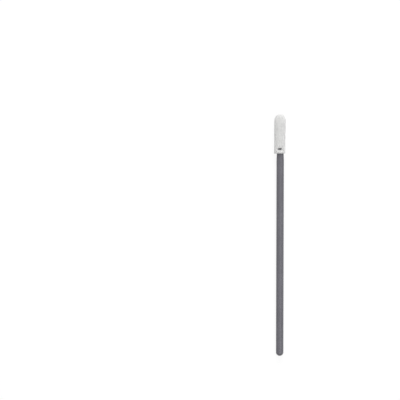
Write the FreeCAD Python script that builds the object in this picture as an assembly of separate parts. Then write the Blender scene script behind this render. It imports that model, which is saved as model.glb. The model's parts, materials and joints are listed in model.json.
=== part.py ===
import FreeCAD, Part
import math
import os

# Cleaning stick: a moulded plastic handle with a foam head fused onto its tapered end.
# The stick is drawn along +Y from its butt, then laid down as it rests on a flat surface.

# Driving dimensions, in millimetres and degrees
overall_length = 70.0  # butt to foam tip, along the stick
shaft_diameter = 2.15  # round shaft of the handle
neck_length = 1.9  # taper of the handle that shows below the foam
core_nose_diameter = 1.2  # rounded end of the core inside the foam
core_cover = 1.6  # foam between the core's nose and the tip
head_diameter = 3.25  # foam before it is squeezed into a sleeve
head_length = 11.3  # cut end of the foam to its tip
dome_height = 1.1  # half-elliptic tip of the foam
cut_edge_radius = 0.2  # soft corner at the foam's cut end
weld_width = 1.1  # weld window round the core
weld_height = 0.45  # weld window along the core
weld_rise = 1.3  # middle of the weld window above the cut end
weld_flare = 20.0  # slope of the window's walls, wider at the skin
weld_windows = 2  # spaced evenly round the head

# Stations along the stick, and radii
shaft_radius = shaft_diameter / 2
nose_radius = core_nose_diameter / 2
head_radius = head_diameter / 2
cut_end = overall_length - head_length
taper_start = cut_end - neck_length
nose_centre = overall_length - core_cover - nose_radius
dome_start = overall_length - dome_height
weld_station = cut_end + weld_rise

# The core's cone leaves the shaft at the neck and is tangent to its round nose
nose_reach = nose_centre - taper_start
taper = math.atan2(shaft_radius, nose_reach) - math.asin(nose_radius / math.hypot(nose_reach, shaft_radius))
core_radius_at_weld = shaft_radius - (weld_station - taper_start) * math.tan(taper)

stick_axis = FreeCAD.Vector(0, 1, 0)
level_axis = FreeCAD.Vector(1, 0, 0)
butt = FreeCAD.Vector(0, 0, 0)


def at(station, radius):
    """Point of a half section, at a station along the stick and a radius from its axis."""
    return FreeCAD.Vector(0, station, radius)


def on_circle(centre, radius, angle):
    """Point of a round end, at an angle from the direction of the tip."""
    return at(centre + radius * math.cos(angle), radius * math.sin(angle))


def turned(edges):
    """Solid of revolution of a closed half section about the stick's axis."""
    section = Part.Face(Part.Wire([edge.toShape() for edge in edges]))
    return section.revolve(butt, stick_axis, 360)


def quarter_ellipse(start, corner, end):
    """Quarter of an ellipse that leaves start towards corner and reaches end from it."""
    curve = Part.BezierCurve()
    curve.setPoles([start, corner, end])
    curve.setWeight(2, math.sqrt(0.5))
    return curve


def make_handle():
    """Shaft with a half-round butt, and the tapered core that the foam sits on."""
    tip = at(nose_centre + nose_radius, 0)
    side = math.pi / 2
    nose_side = side - taper
    shaft_end = at(shaft_radius, shaft_radius)
    neck = at(taper_start, shaft_radius)
    shoulder = on_circle(nose_centre, nose_radius, nose_side)
    return turned(
        [
            Part.Arc(butt, on_circle(shaft_radius, shaft_radius, 1.5 * side), shaft_end),
            Part.LineSegment(shaft_end, neck),
            Part.LineSegment(neck, shoulder),
            Part.Arc(shoulder, on_circle(nose_centre, nose_radius, nose_side / 2), tip),
            Part.LineSegment(tip, butt),
        ]
    )


def make_foam_block():
    """Outer form of the head: cut end, soft corner, straight wall and domed tip."""
    bottom = at(cut_end, 0)
    tip = at(overall_length, 0)
    rim = at(cut_end, head_radius - cut_edge_radius)
    corner_centre = cut_end + cut_edge_radius
    corner_middle = math.sqrt(0.5) * cut_edge_radius
    corner = at(corner_centre - corner_middle, head_radius - cut_edge_radius + corner_middle)
    wall_start = at(corner_centre, head_radius)
    wall_end = at(dome_start, head_radius)
    return turned(
        [
            Part.LineSegment(bottom, rim),
            Part.Arc(rim, corner, wall_start),
            Part.LineSegment(wall_start, wall_end),
            quarter_ellipse(wall_end, at(overall_length, head_radius), tip),
            Part.LineSegment(tip, bottom),
        ]
    )


def weld_outline(height):
    """Obround outline of the weld window, in the level plane at a height above the stick's axis."""
    spread = (height - core_radius_at_weld) * math.tan(math.radians(weld_flare))
    end_radius = weld_height / 2 + spread
    end_centre = (weld_width - weld_height) / 2

    def corner(side, along):
        return FreeCAD.Vector(side * end_centre, weld_station + along * end_radius, height)

    def end(side):
        return FreeCAD.Vector(side * (end_centre + end_radius), weld_station, height)

    edges = [
        Part.LineSegment(corner(-1, -1), corner(1, -1)),
        Part.Arc(corner(1, -1), end(1), corner(1, 1)),
        Part.LineSegment(corner(1, 1), corner(-1, 1)),
        Part.Arc(corner(-1, 1), end(-1), corner(-1, -1)),
    ]
    return Part.Wire([edge.toShape() for edge in edges])


def make_weld_tool():
    """Flared form that the hot tool leaves, from inside the core to well clear of the foam's skin."""
    tip_height = math.sqrt(core_radius_at_weld**2 - (weld_width / 2) ** 2)
    return Part.makeLoft([weld_outline(tip_height), weld_outline(head_diameter)], True, True)


def make_foam_head(handle):
    """Foam that fits the core face to face, with weld windows down to it."""
    head = make_foam_block().cut(handle)
    tool = make_weld_tool()
    for index in range(weld_windows):
        turn = FreeCAD.Rotation(stick_axis, index * 360 / weld_windows)
        head = head.cut(tool.transformed(FreeCAD.Placement(butt, turn).toMatrix()))
    return head


def rest_placement():
    """Lays the stick on its butt and the foam's lower corner, with its middle over the origin."""
    reach = cut_end + cut_edge_radius - shaft_radius
    drop = head_radius - cut_edge_radius
    difference = cut_edge_radius - shaft_radius
    tilt = math.atan2(drop, reach) + math.asin(difference / math.hypot(reach, drop))
    middle = overall_length / 2 * math.cos(tilt)
    butt_height = shaft_radius * (1 - math.sin(tilt))
    turn = FreeCAD.Rotation(level_axis, math.degrees(tilt))
    return FreeCAD.Placement(FreeCAD.Vector(0, -middle, butt_height), turn)


def main():
    handle = make_handle()
    pieces = {"handle": handle, "foam_head": make_foam_head(handle)}
    lay_down = rest_placement().toMatrix()
    os.makedirs("parts", exist_ok=True)
    for name, shape in pieces.items():
        shape.transformed(lay_down).exportStep(f"parts/{name}.step")


main()
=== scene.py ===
import json
import math

import bmesh
import bpy
from mathutils import Matrix, Vector, noise


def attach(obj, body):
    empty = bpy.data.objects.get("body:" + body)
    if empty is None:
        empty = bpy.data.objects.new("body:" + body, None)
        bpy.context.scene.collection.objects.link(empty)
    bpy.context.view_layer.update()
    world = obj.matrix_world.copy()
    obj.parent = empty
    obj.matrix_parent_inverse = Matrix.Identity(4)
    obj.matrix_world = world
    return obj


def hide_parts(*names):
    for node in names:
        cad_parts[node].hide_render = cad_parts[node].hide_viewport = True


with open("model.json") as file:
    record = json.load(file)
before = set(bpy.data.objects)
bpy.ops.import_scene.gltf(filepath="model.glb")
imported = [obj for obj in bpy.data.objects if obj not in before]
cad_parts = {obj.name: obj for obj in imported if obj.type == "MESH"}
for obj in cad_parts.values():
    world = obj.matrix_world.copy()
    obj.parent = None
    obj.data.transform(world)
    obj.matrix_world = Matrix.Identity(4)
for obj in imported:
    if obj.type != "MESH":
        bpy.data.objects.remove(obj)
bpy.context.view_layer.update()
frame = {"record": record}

# A foam-tipped cleaning stick, lying on a pale floor under soft light.
# Pieces are modelled in millimetres along the stick's own axis, from its butt, and then laid in the frame.

MM = 0.001
QUARTER_TURN = math.pi / 2

# Sizes that the frame gives, in millimetres
mounts = {mount["name"]: mount for mount in frame["record"]["mounts"]}
tip_mount = mounts["cleaning_tip"]
shaft_mount = mounts["handle_shaft"]
shaft_radius = shaft_mount["dims"]["r_mm"]
shaft_length = shaft_mount["dims"]["length_mm"]
head_radius = tip_mount["dims"]["r_mm"]
wall_length = tip_mount["dims"]["length_mm"]
along = Vector(tip_mount["axis"]).normalized()
butt_place = Vector(shaft_mount["pos_m"]) - along * (shaft_length / 2 + shaft_radius) * MM
wall_middle = (Vector(tip_mount["pos_m"]) - butt_place).dot(along) / MM
wall_start = wall_middle - wall_length / 2
dome_start = wall_middle + wall_length / 2

# Sizes of the rounded and hidden forms
cut_edge_radius = 0.2
dome_height = 1.1
core_nose_radius = 0.6
core_cover = 1.6
weld_width = 1.1
weld_height = 0.45
weld_rise = 1.3
weld_flare = 20.0  # degrees

# Stations along the stick
neck_start = shaft_radius + shaft_length
cut_end = wall_start - cut_edge_radius
tip_end = dome_start + dome_height
nose_centre = tip_end - core_cover - core_nose_radius
weld_station = cut_end + weld_rise

# The core's cone runs from the neck to its round nose and is tangent to it
nose_reach = nose_centre - neck_start
nose_distance = math.hypot(nose_reach, shaft_radius)
taper = math.atan2(shaft_radius, nose_reach) - math.asin(core_nose_radius / nose_distance)

# The stick's own axes: X level, Y along the stick, Z up from it
level_axis = Vector((1, 0, 0))
stick_turn = Matrix((level_axis, along, level_axis.cross(along))).transposed().to_4x4()
lay_down = Matrix.Translation(butt_place) @ stick_turn @ Matrix.Scale(MM, 4)


def core_radius(station):
    """Radius of the handle's cone at a station between the neck and the nose."""
    return shaft_radius - (station - neck_start) * math.tan(taper)


def between(low, high, share):
    """Value that lies a share of the way from low to high. The share may be a socket."""
    return low + (high - low) * share


def smooth_step(low, high, value):
    """Ramp from 0 to 1 with a soft start and end."""
    share = min(max((value - low) / (high - low), 0), 1)
    return share * share * (3 - 2 * share)


def bell(distance, reach):
    """Soft falloff from 1 at no distance."""
    return math.exp(-((distance / reach) ** 2))


def arc(centre, radius, start, end, count):
    """Points of a circular arc in the half section, by angle from the direction of the tip."""
    angles = [start + (end - start) * step / count for step in range(count + 1)]
    return [(centre + radius * math.cos(angle), radius * math.sin(angle)) for angle in angles]


def spun(section, steps):
    """Closed form of a half section of (station, radius) points, spun round the stick's axis."""
    merge_distance = 1e-5
    bm = bmesh.new()
    points = [bm.verts.new((0, station, radius)) for station, radius in section]
    edges = [bm.edges.new(pair) for pair in zip(points, points[1:])]
    bmesh.ops.spin(
        bm, geom=points + edges, cent=(0, 0, 0), axis=(0, 1, 0), angle=math.tau, steps=steps, use_merge=True
    )
    bmesh.ops.remove_doubles(bm, verts=bm.verts, dist=merge_distance)
    bmesh.ops.recalc_face_normals(bm, faces=bm.faces)
    return bm


def as_object(name, bm):
    """New object that holds a bmesh, which is freed."""
    mesh = bpy.data.meshes.new(name)
    bm.to_mesh(mesh)
    bm.free()
    thing = bpy.data.objects.new(name, mesh)
    bpy.context.scene.collection.objects.link(thing)
    return thing


def applied(thing):
    """Bmesh of an object with its modifiers applied."""
    shown = thing.evaluated_get(bpy.context.evaluated_depsgraph_get())
    bm = bmesh.new()
    bm.from_mesh(shown.to_mesh())
    shown.to_mesh_clear()
    return bm


def combine(thing, operation, *others):
    """Adds boolean modifiers that join or cut other forms."""
    for other in others:
        step = thing.modifiers.new(operation.lower(), "BOOLEAN")
        step.operation = operation
        step.solver = "MANIFOLD"
        step.object = other


def discard(*things):
    """Removes working objects and their meshes."""
    for thing in things:
        mesh = thing.data
        bpy.data.objects.remove(thing)
        bpy.data.meshes.remove(mesh)


# Handle

CORE_STEPS = 96
SHAFT_SPANS = 40
BUTT_SPANS = 16
NOSE_SPANS = 10


def handle_section():
    """Half section of the handle: round butt, shaft, taper and round nose."""
    butt = arc(shaft_radius, shaft_radius, math.pi, QUARTER_TURN, BUTT_SPANS)
    span = shaft_length / SHAFT_SPANS
    shaft = [(shaft_radius + span * step, shaft_radius) for step in range(1, SHAFT_SPANS + 1)]
    nose = arc(nose_centre, core_nose_radius, QUARTER_TURN - taper, 0, NOSE_SPANS)
    return butt + shaft + nose


def make_handle():
    """Moulded handle with its core."""
    bm = spun(handle_section(), CORE_STEPS)
    bmesh.ops.transform(bm, matrix=lay_down, verts=bm.verts)
    return as_object("handle_moulding", bm)


# Foam head, sizes in millimetres and heights above its cut end

FOAM_STEPS = 128
FOAM_SPANS = 160
CORNER_SPANS = 8
FOAM_VOXEL = 0.041
SMOOTHING_ROUNDS = 2
SMOOTHING_SHARE = 0.5

TIP_PROUD = 0.1
SHOULDER_HEIGHT = 8.5
DOME_POWER = 2.9
WAIST_SLIM = 0.022
TOP_SWELL = 0.055
SWELL_START = 4.5
FOOT_FLARE = 0.045
FOOT_REACH = 0.8
CUT_DISH = 0.45
CUT_SLANT = 0.02
SLANT_REACH = 1.2

# The foam sits a little askew: to the left of its core at the cut end, and nearer to its line at the tip
FOAM_ASIDE = -0.145
FOAM_LEAN = 0.0075
FOAM_GRIP = 0.03
FLOOR_CONTACT = 0.06

LUMP_SIZE = 1.3
LUMP_HEIGHT = 0.01

# Open cells: each is a bowl between struts with a round throat in it, and small nicks roughen all of them
CELL_SIZE = 0.25
NICK_SIZE = 0.12
CELL_BEND = 0.05
BEND_SIZE = 0.45
BEND_SHIFTS = (0.0, 23.6, 57.1)  # set the noises of the three axes apart
LOT_SPREAD = 5.7  # sets the cells' centres apart, so that each has a depth of its own

# Where a form starts and ends, in shares of its cell's size
BOWL_SPAN = (0.03, 0.36)
THROAT_SPAN = (0.1, 0.5)
NICK_SPAN = (0.05, 0.4)

# Depths and painted shades, from the shallowest cell to the deepest. The painted shade darkens the cells'
# hollows, where shade falls
BOWL_DEPTH = (0.015, 0.03)
THROAT_DEPTH = (0.015, 0.052)
NICK_DEPTH = 0.01
BOWL_PAINTED_SHADE = 0.35
THROAT_PAINTED_SHADE = (0.26, 0.65)

# Weld windows
WELD_ASIDE = -0.07
PRESS_DEPTH = 0.04
PRESS_REACH = 0.34
MELT_REACH = 0.2
TOOL_STEPS = 48
TOOL_BOTTOM = 0.6  # of the core's radius
TOOL_TOP = 1.5  # of the foam's radius

foam_length = tip_end - cut_end + TIP_PROUD

# Shear that sets the straight foam askew
foam_set = Matrix.Identity(4)
foam_set[0][1] = FOAM_LEAN
foam_set[0][3] = FOAM_ASIDE - FOAM_LEAN * cut_end


def foam_radius(height):
    """Radius of the foam at a height: a flared foot, a slim waist, a fuller top and a blunt dome."""
    foot = FOOT_FLARE * bell(height, FOOT_REACH)
    swell = TOP_SWELL * smooth_step(SWELL_START, SHOULDER_HEIGHT, height)
    barrel = head_radius - WAIST_SLIM + foot + swell
    rise = max(height - SHOULDER_HEIGHT, 0) / (foam_length - SHOULDER_HEIGHT)
    return barrel * max(1 - rise**DOME_POWER, 0) ** (1 / DOME_POWER)


def foam_section():
    """Half section of the foam's outside, from its tip to a soft corner and a dished cut end."""
    section = []
    for step in range(FOAM_SPANS + 1):
        turn = QUARTER_TURN * step / FOAM_SPANS
        height = foam_length - (foam_length - cut_edge_radius) * (1 - math.cos(turn))
        section.append((cut_end + height, foam_radius(height)))
    rim_radius = foam_radius(cut_edge_radius) - cut_edge_radius
    for step in range(1, CORNER_SPANS + 1):
        turn = QUARTER_TURN * step / CORNER_SPANS
        station = wall_start - cut_edge_radius * math.sin(turn)
        section.append((station, rim_radius + cut_edge_radius * math.cos(turn)))
    section.append((cut_end + CUT_DISH, 0))
    return section


def foam_block():
    """Solid foam form with an even fine mesh."""
    block = as_object("foam_block", spun(foam_section(), FOAM_STEPS))
    grid = block.modifiers.new("even_mesh", "REMESH")
    grid.mode = "VOXEL"
    grid.voxel_size = FOAM_VOXEL
    bm = applied(block)
    discard(block)
    for _ in range(SMOOTHING_ROUNDS):
        bmesh.ops.smooth_vert(
            bm, verts=bm.verts, factor=SMOOTHING_SHARE, use_axis_x=True, use_axis_y=True, use_axis_z=True
        )
    bm.normal_update()
    return bm


def soft_vector(place):
    """Soft noise for each axis. Blender's own noise_vector differs from run to run."""
    return Vector([noise.noise(place + Vector((0, shift, 0))) for shift in BEND_SHIFTS])


def foam_cells(place):
    """Depth of the foam's cells at a place, and the painted shade of their hollows there, from 0 on a strut
    to 1 in a deep cell.
    """
    crooked = place + CELL_BEND * soft_vector(place / BEND_SIZE)
    (nearest, second, *_), centres = noise.voronoi(crooked / CELL_SIZE)
    (nick_nearest, nick_second, *_), _ = noise.voronoi(crooked / NICK_SIZE)
    lot = abs(noise.cell(centres[0] * LOT_SPREAD))
    bowl = smooth_step(*BOWL_SPAN, second - nearest)
    throat = 1 - smooth_step(*THROAT_SPAN, nearest)
    nick = smooth_step(*NICK_SPAN, nick_second - nick_nearest)
    depth = bowl * between(*BOWL_DEPTH, lot) + throat * between(*THROAT_DEPTH, lot) + nick * NICK_DEPTH
    # Painted shade: darker in a cell's bowl and darkest in its throat, where shade falls
    shade = bowl * BOWL_PAINTED_SHADE + throat * between(*THROAT_PAINTED_SHADE, lot)
    return depth, shade


def weld_distance(place):
    """Distance over the skin from the floor of the nearer weld window, 0 within it."""
    sideways = head_radius * math.atan2(abs(place.x - WELD_ASIDE), abs(place.z))
    end_centre = (weld_width - weld_height) / 2
    reach = math.hypot(max(sideways - end_centre, 0), place.y - weld_station)
    return max(reach - weld_height / 2, 0)


def press_cells(bm):
    """Gives the foam its cells, soft lumps and slanted cut, and presses it in round the weld windows. It
    also keeps the cells' painted shade on the mesh.
    """
    cell_painted_shade_layer = bm.verts.layers.float.new("pore")
    moves = []
    for vert in bm.verts:
        place = vert.co
        gap = weld_distance(place)
        melt = bell(gap, MELT_REACH)
        depth, shade = foam_cells(place)
        lump = LUMP_HEIGHT * noise.noise(place / LUMP_SIZE)
        press = Vector((place.x, 0, place.z)).normalized() * PRESS_DEPTH * bell(gap, PRESS_REACH)
        slant = CUT_SLANT * place.x * bell(place.y - cut_end, SLANT_REACH)
        moves.append(vert.normal * (lump - depth * (1 - melt)) - press + Vector((0, slant, 0)))
        # Painted shade of the cells' hollows, kept off the melted skin
        vert[cell_painted_shade_layer] = shade * (1 - melt)
    for vert, move in zip(bm.verts, moves):
        vert.co += move


def make_core_space():
    """Space that the squeezed foam leaves for its core.

    The foam is still straight when it is cut, so the space is set askew the other way.
    """
    start = cut_end - CUT_DISH
    nose = arc(nose_centre, core_nose_radius - FOAM_GRIP, QUARTER_TURN - taper, 0, NOSE_SPANS)
    bm = spun([(start, 0), (start, core_radius(start) - FOAM_GRIP)] + nose, CORE_STEPS)
    bmesh.ops.transform(bm, matrix=foam_set.inverted(), verts=bm.verts)
    return as_object("core_space", bm)


def make_weld_tool(side):
    """Flared oval form that opens a weld window down to the core, on the upper (1) or lower (-1) side."""
    core = core_radius(weld_station)
    bm = bmesh.new()
    for height in (core * TOOL_BOTTOM, head_radius * TOOL_TOP):
        spread = (height - core) * math.tan(math.radians(weld_flare))
        half_width = weld_width / 2 + spread
        half_height = weld_height / 2 + spread
        place = Matrix.Translation((WELD_ASIDE, weld_station, side * height))
        oval = place @ Matrix.Diagonal((half_width, half_height, 1, 1))
        bmesh.ops.create_circle(bm, cap_ends=True, radius=1, segments=TOOL_STEPS, matrix=oval)
    rims = [edge for edge in bm.edges if len(edge.link_faces) == 1]
    bmesh.ops.bridge_loops(bm, edges=rims)
    bmesh.ops.recalc_face_normals(bm, faces=bm.faces)
    return as_object("weld_tool", bm)


def mark_melt(bm):
    """Marks the smooth skin of the weld windows and of the foam close round them."""
    melt_layer = bm.verts.layers.float.new("melt")
    for vert in bm.verts:
        vert[melt_layer] = bell(weld_distance(vert.co), MELT_REACH)


def settle(bm):
    """Flattens the foam softly where it would reach below the floor."""
    contact = FLOOR_CONTACT * MM
    for vert in bm.verts:
        if vert.co.z < contact:
            vert.co.z = contact * math.exp(vert.co.z / contact - 1)


def make_foam_head():
    """Foam head: open cells all over, a bore that grips the core and two weld windows down to it."""
    bm = foam_block()
    press_cells(bm)
    solid = as_object("foam_solid", bm)
    core = make_core_space()
    tools = [make_weld_tool(side) for side in (1, -1)]
    combine(core, "UNION", *tools)
    combine(solid, "DIFFERENCE", core)
    bm = applied(solid)
    discard(solid, core, *tools)
    mark_melt(bm)
    bmesh.ops.transform(bm, matrix=lay_down @ foam_set, verts=bm.verts)
    settle(bm)
    return as_object("foam_tip", bm)


# Materials


class Socket:
    """An output socket of a finish. Arithmetic on it adds Math nodes."""

    def __init__(self, finish, output):
        self.finish = finish
        self.output = output

    def math(self, operation, first, second):
        """Result of a Math node on two numbers or sockets."""
        return self.finish.node("ShaderNodeMath", {"operation": operation}, {0: first, 1: second})

    def __add__(self, other):
        return self.math("ADD", self, other)

    def __mul__(self, other):
        return self.math("MULTIPLY", self, other)

    __radd__ = __add__
    __rmul__ = __mul__


class Finish:
    """The nodes of a material or of the world."""

    def __init__(self, owner):
        owner.use_nodes = True
        self.owner = owner
        self.tree = owner.node_tree
        self.tree.nodes.clear()

    def node(self, kind, settings=None, inputs=None, output=0):
        """Adds a node, sets it up, fills or links its sockets and returns one of its outputs."""
        node = self.tree.nodes.new(kind)
        for name, value in (settings or {}).items():
            setattr(node, name, value)
        for key, value in (inputs or {}).items():
            if isinstance(value, Socket):
                self.tree.links.new(value.output, node.inputs[key])
            else:
                node.inputs[key].default_value = value
        return Socket(self, node.outputs[output]) if node.outputs else None

    def place(self, stretch):
        """Object coordinates in millimetres, stretched along the axes."""
        spot = self.node("ShaderNodeTexCoord", output="Object")
        scale = [1 / MM / share for share in stretch]
        return self.node("ShaderNodeMapping", inputs={"Vector": spot, "Scale": scale})

    def speckle(self, size, detail=2, stretch=(1, 1, 1)):
        """Soft noise with features of a size in millimetres."""
        inputs = {"Vector": self.place(stretch), "Scale": 1 / size, "Detail": detail}
        return self.node("ShaderNodeTexNoise", inputs=inputs)

    def mixed(self, mask, low, high, blend="MIX"):
        """Colour that goes from low to high with a mask. A Mix node's colours are its sockets 6 and 7."""
        settings = {"data_type": "RGBA", "blend_type": blend}
        return self.node("ShaderNodeMix", settings, {0: mask, 6: low, 7: high}, output=2)

    def attribute(self, name):
        """A number kept on the mesh."""
        return self.node("ShaderNodeAttribute", {"attribute_name": name}, output="Fac")

    def bump(self, height, distance):
        """Surface normal of a height pattern; distance in millimetres."""
        return self.node("ShaderNodeBump", inputs={"Height": height, "Distance": distance * MM})

    def seen(self):
        """1 for a ray that shows this to the camera, straight, mirrored or through a clear piece."""
        straight = self.node("ShaderNodeLightPath", output="Is Camera Ray")
        mirrored = self.node("ShaderNodeLightPath", output="Is Glossy Ray")
        passed = self.node("ShaderNodeLightPath", output="Is Transmission Ray")
        return straight + mirrored + passed

    def surface(self, shader):
        """Makes a shader the finish's surface."""
        is_world = isinstance(self.owner, bpy.types.World)
        kind = "ShaderNodeOutputWorld" if is_world else "ShaderNodeOutputMaterial"
        self.node(kind, inputs={"Surface": shader})


def colour(red, green, blue):
    """Opaque colour, by its linear shares of light."""
    return (red, green, blue, 1)


def grey(share):
    """Opaque grey that gives back a share of the light."""
    return colour(share, share, share)


def grey_plastic():
    """Satin grey polypropylene with faint lengthwise flow and a fine moulded grain."""
    material = bpy.data.materials.new("grey_plastic_satin")
    finish = Finish(material)
    flow = finish.speckle(size=0.35, detail=3, stretch=(1, 14, 1))
    cloud = finish.speckle(size=4.0)
    grain = finish.speckle(size=0.06, detail=3)
    shade = (flow + cloud) * 0.5
    relief = grain * 0.4 + flow * 0.6
    deep_grey = colour(0.101, 0.0985, 0.1135)
    pale_grey = colour(0.169, 0.1645, 0.189)
    shader = finish.node(
        "ShaderNodeBsdfPrincipled",
        inputs={
            "Base Color": finish.mixed(shade, deep_grey, pale_grey),
            "Roughness": between(0.4, 0.48, flow),
            "Specular IOR Level": 0.46,
            "Normal": finish.bump(relief, distance=0.002),
        },
    )
    finish.surface(shader)
    return material


def white_foam():
    """Open-cell foam: white struts, painted shade in the cells' hollows, and a smooth darker skin where it
    was melted.
    """
    material = bpy.data.materials.new("white_foam_cells")
    finish = Finish(material)
    pore = finish.attribute("pore")
    melt = finish.attribute("melt")
    fuzz = finish.speckle(size=0.05, detail=4)
    cloud = finish.speckle(size=1.2)
    dim_strut = colour(0.68, 0.68, 0.67)
    clear_strut = colour(0.71, 0.71, 0.7)
    deepest_painted_shade = grey(0.78)
    melted_skin = grey(0.42)
    melted_share = 0.5
    struts = finish.mixed(cloud, dim_strut, clear_strut)
    # Painted shade: the cells go from white on the struts to a grey in their deepest hollows
    cells = finish.mixed(pore, grey(1.0), deepest_painted_shade)
    foam = finish.mixed(1.0, struts, cells, blend="MULTIPLY")
    shader = finish.node(
        "ShaderNodeBsdfPrincipled",
        inputs={
            "Base Color": finish.mixed(melt * melted_share, foam, melted_skin),
            "Roughness": between(0.95, 0.5, melt),
            "Specular IOR Level": 0.2,
            "Subsurface Weight": 0.5,
            "Subsurface Radius": (1.0, 1.0, 1.0),
            "Subsurface Scale": 2.0 * MM,
            "Diffuse Roughness": 1.0,
            "Sheen Weight": 1.0,
            "Sheen Roughness": 0.8,
            "Normal": finish.bump(fuzz, distance=0.003),
        },
    )
    finish.surface(shader)
    return material


# Floor, light and camera, with lengths in metres and places in the photograph in pixels

FLOOR_SIZE = 6.0
FLOOR_PAINT = 0.6  # share of the light that it throws back at the stick
FLOOR_GLOW = 0.88  # its own white, where it is seen
FLOOR_SHADOW = 0.14  # share of the light that a shadow takes away

AMBIENT = 0.285
LAMP_DISTANCE = 0.6

PHOTO_SIZE = 400
TIP_ROW = 114.6
BUTT_ROW = 355.9
STICK_COLUMN = 280.0
STICK_LEAN = 0.14  # degrees
CAMERA_DISTANCE = 0.77


def white_floor():
    """Pale floor that looks white, with a faint shadow of the stick left on it."""
    material = bpy.data.materials.new("pale_floor")
    finish = Finish(material)
    paint = finish.node("ShaderNodeBsdfDiffuse", inputs={"Color": grey(FLOOR_PAINT)})
    shadow = finish.node("ShaderNodeBsdfDiffuse", inputs={"Color": grey(FLOOR_SHADOW)})
    glow = finish.node("ShaderNodeEmission", inputs={"Color": grey(FLOOR_GLOW)})
    white = finish.node("ShaderNodeAddShader", inputs={0: shadow, 1: glow})
    finish.surface(finish.node("ShaderNodeMixShader", inputs={0: finish.seen(), 1: paint, 2: white}))
    return material


def make_floor():
    """Large level floor under the stick."""
    bm = bmesh.new()
    bmesh.ops.create_grid(bm, x_segments=1, y_segments=1, size=FLOOR_SIZE / 2)
    floor = as_object("floor", bm)
    floor.data.materials.append(white_floor())


def light_world():
    """Even soft light from all round, and a white background where it is seen."""
    world = bpy.data.worlds.new("soft_room")
    bpy.context.scene.world = world
    finish = Finish(world)
    strength = between(AMBIENT, 1, finish.seen())
    finish.surface(finish.node("ShaderNodeBackground", inputs={"Color": grey(1.0), "Strength": strength}))


def make_lamp(name, forward, aside, width, depth, level):
    """Soft lamp aimed at the stick.

    It hangs some degrees forward of overhead, towards the tip, and aside, to the right. Level is the share
    of full light that it gives a surface that faces it.
    """
    lean = Matrix.Rotation(math.radians(aside), 3, "Y") @ Matrix.Rotation(math.radians(-forward), 3, "X")
    lamp = bpy.data.lights.new(name, "AREA")
    lamp.shape = "RECTANGLE"
    lamp.size = width
    lamp.size_y = depth
    lamp.energy = level * (math.pi * LAMP_DISTANCE) ** 2
    thing = bpy.data.objects.new(name, lamp)
    thing.matrix_world = lean.to_4x4() @ Matrix.Translation((0, 0, LAMP_DISTANCE))
    thing.visible_camera = False
    bpy.context.scene.collection.objects.link(thing)


def make_lamps():
    """Key light from beyond the tip, a broad one from overhead and a narrow strip from behind the butt."""
    make_lamp("key_lamp", forward=62, aside=3, width=0.4, depth=0.4, level=0.84)
    make_lamp("top_lamp", forward=4, aside=24, width=0.36, depth=0.5, level=0.2)
    make_lamp("butt_lamp", forward=-44, aside=4, width=0.3, depth=0.02, level=0.3)


def make_camera():
    """Camera that looks straight down, with the stick where the photograph has it."""
    pixel = tip_end * MM / (BUTT_ROW - TIP_ROW)
    middle_row = (TIP_ROW + BUTT_ROW) / 2
    camera = bpy.data.cameras.new("camera")
    camera.lens = camera.sensor_width * CAMERA_DISTANCE / (pixel * PHOTO_SIZE)
    thing = bpy.data.objects.new("camera", camera)
    middle = lay_down @ Vector((0, tip_end / 2, 0))
    left = (STICK_COLUMN - PHOTO_SIZE / 2) * pixel
    ahead = (middle_row - PHOTO_SIZE / 2) * pixel
    offset = Matrix.Translation((-left, ahead, CAMERA_DISTANCE))
    roll = Matrix.Rotation(math.radians(STICK_LEAN), 4, "Z")
    thing.matrix_world = Matrix.Translation(middle) @ roll @ offset
    bpy.context.scene.collection.objects.link(thing)
    bpy.context.scene.camera = thing


def dress(piece, node, material):
    """Gives a finished piece smooth shading and its material, hides the CAD node that it stands for and sets
    it on the root body.
    """
    piece.data.polygons.foreach_set("use_smooth", [True] * len(piece.data.polygons))
    piece.data.materials.append(material)
    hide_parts(node)
    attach(piece, "root")


def main():
    """Models and dresses the stick, and sets up its floor, its light and the camera."""
    bpy.context.scene.view_settings.view_transform = "Standard"
    dress(make_handle(), "handle", grey_plastic())
    foam_tip = make_foam_head()
    dress(foam_tip, "foam_head", white_foam())
    make_floor()
    light_world()
    make_lamps()
    make_camera()


main()
